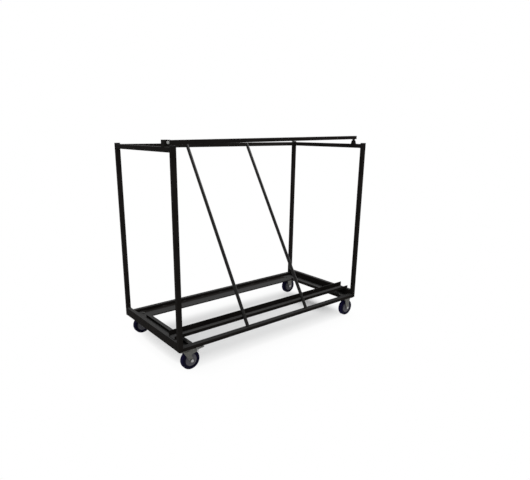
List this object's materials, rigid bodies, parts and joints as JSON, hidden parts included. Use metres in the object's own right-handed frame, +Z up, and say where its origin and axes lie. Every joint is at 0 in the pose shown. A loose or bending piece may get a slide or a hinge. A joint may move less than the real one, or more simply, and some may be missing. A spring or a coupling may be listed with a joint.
{
  "type": "table trolley",
  "caption": "Wheeled storage rack for banquet tables: open tubular steel frame with a J-section table channel, slanting divider rods, a hinged front retaining bar and braked castors.",
  "frame": {"origin": "floor point under the middle of the rack", "axes": "X along the length to the right seen from the open front, Y from the open front to the back, Z up"},
  "size_m": [1.702, 0.8, 1.4723],
  "materials": {
    "frame_paint": "satin black powder coat",
    "rod_paint": "smoother black powder coat",
    "cap_plastic": "moulded black",
    "bright_steel": "turned",
    "zinc": "dull zinc plate",
    "bush_plastic": "plain",
    "rim_plastic": "moulded grey",
    "tyre_rubber": "smooth navy"
  },
  "bodies": {
    "frame": {"post_front_left": "frame_paint", "post_front_right": "frame_paint", "post_back_left": "frame_paint", "post_back_right": "frame_paint", "foot_plates": "frame_paint", "end_tube_left": "frame_paint", "end_tube_right": "frame_paint", "back_tube": "frame_paint", "front_sill": "frame_paint", "ledge_left": "frame_paint", "ledge_right": "frame_paint", "ledge_back": "frame_paint", "table_channel": "frame_paint", "top_rail_left": "frame_paint", "top_rail_right": "frame_paint", "top_rail_back": "frame_paint", "bar_bracket": "frame_paint", "bar_socket": "frame_paint", "brace_rod_left": "rod_paint", "brace_rod_right": "rod_paint", "post_caps": "cap_plastic", "swivel_balls": "bright_steel", "kingpin_front_left": "bright_steel", "kingpin_back_left": "bright_steel", "axle_front_right": "bright_steel", "axle_back_right": "bright_steel", "pivot_bolt": "zinc", "pivot_nut": "zinc", "castor_bolts": "zinc", "castor_nuts": "zinc", "kingpin_nuts": "zinc", "castor_plate_front_left": "zinc", "castor_plate_back_left": "zinc", "fixed_fork_front_right": "zinc", "fixed_fork_back_right": "zinc"},
    "front_bar": {"retaining_bar": "frame_paint", "bar_sleeve": "bright_steel", "bar_caps": "cap_plastic", "bar_peg": "bright_steel"},
    "swivel_front_left": {"swivel_fork_front_left": "zinc", "brake_pin_front_left": "bright_steel", "axle_front_left": "bright_steel"},
    "pedal_front_left": {"brake_pedal_front_left": "zinc"},
    "swivel_back_left": {"swivel_fork_back_left": "zinc", "brake_pin_back_left": "bright_steel", "axle_back_left": "bright_steel"},
    "pedal_back_left": {"brake_pedal_back_left": "zinc"},
    "wheel_front_left": {"wheel_bush_front_left": "bush_plastic", "wheel_rim_front_left": "rim_plastic", "tyre_front_left": "tyre_rubber"},
    "wheel_front_right": {"wheel_bush_front_right": "bush_plastic", "wheel_rim_front_right": "rim_plastic", "tyre_front_right": "tyre_rubber"},
    "wheel_back_left": {"wheel_bush_back_left": "bush_plastic", "wheel_rim_back_left": "rim_plastic", "tyre_back_left": "tyre_rubber"},
    "wheel_back_right": {"wheel_bush_back_right": "bush_plastic", "wheel_rim_back_right": "rim_plastic", "tyre_back_right": "tyre_rubber"}
  },
  "joints": [
    {"name": "bar_hinge", "type": "hinge", "parent": "frame", "child": "front_bar", "pos_m": [-0.826, -0.294, 1.4365], "axis": [0, -1, 0], "range_deg": [0, 110]},
    {"name": "swivel_front_left", "type": "hinge", "parent": "frame", "child": "swivel_front_left", "pos_m": [-0.786, -0.355, 0.144], "axis": [0, 0, 1], "continuous": true},
    {"name": "brake_front_left", "type": "hinge", "parent": "swivel_front_left", "child": "pedal_front_left", "pos_m": [-0.70441, -0.355, 0.12826], "axis": [0, 1, 0], "range_deg": [0, 8]},
    {"name": "swivel_back_left", "type": "hinge", "parent": "frame", "child": "swivel_back_left", "pos_m": [-0.786, 0.355, 0.144], "axis": [0, 0, 1], "continuous": true},
    {"name": "brake_back_left", "type": "hinge", "parent": "swivel_back_left", "child": "pedal_back_left", "pos_m": [-0.70441, 0.355, 0.12826], "axis": [0, 1, 0], "range_deg": [0, 8]},
    {"name": "roll_front_left", "type": "hinge", "parent": "swivel_front_left", "child": "wheel_front_left", "pos_m": [-0.748, -0.355, 0.066], "axis": [0, 1, 0], "continuous": true},
    {"name": "roll_front_right", "type": "hinge", "parent": "frame", "child": "wheel_front_right", "pos_m": [0.786, -0.355, 0.066], "axis": [0, 1, 0], "continuous": true},
    {"name": "roll_back_left", "type": "hinge", "parent": "swivel_back_left", "child": "wheel_back_left", "pos_m": [-0.748, 0.355, 0.066], "axis": [0, 1, 0], "continuous": true},
    {"name": "roll_back_right", "type": "hinge", "parent": "frame", "child": "wheel_back_right", "pos_m": [0.786, 0.355, 0.066], "axis": [0, 1, 0], "continuous": true}
  ]
}
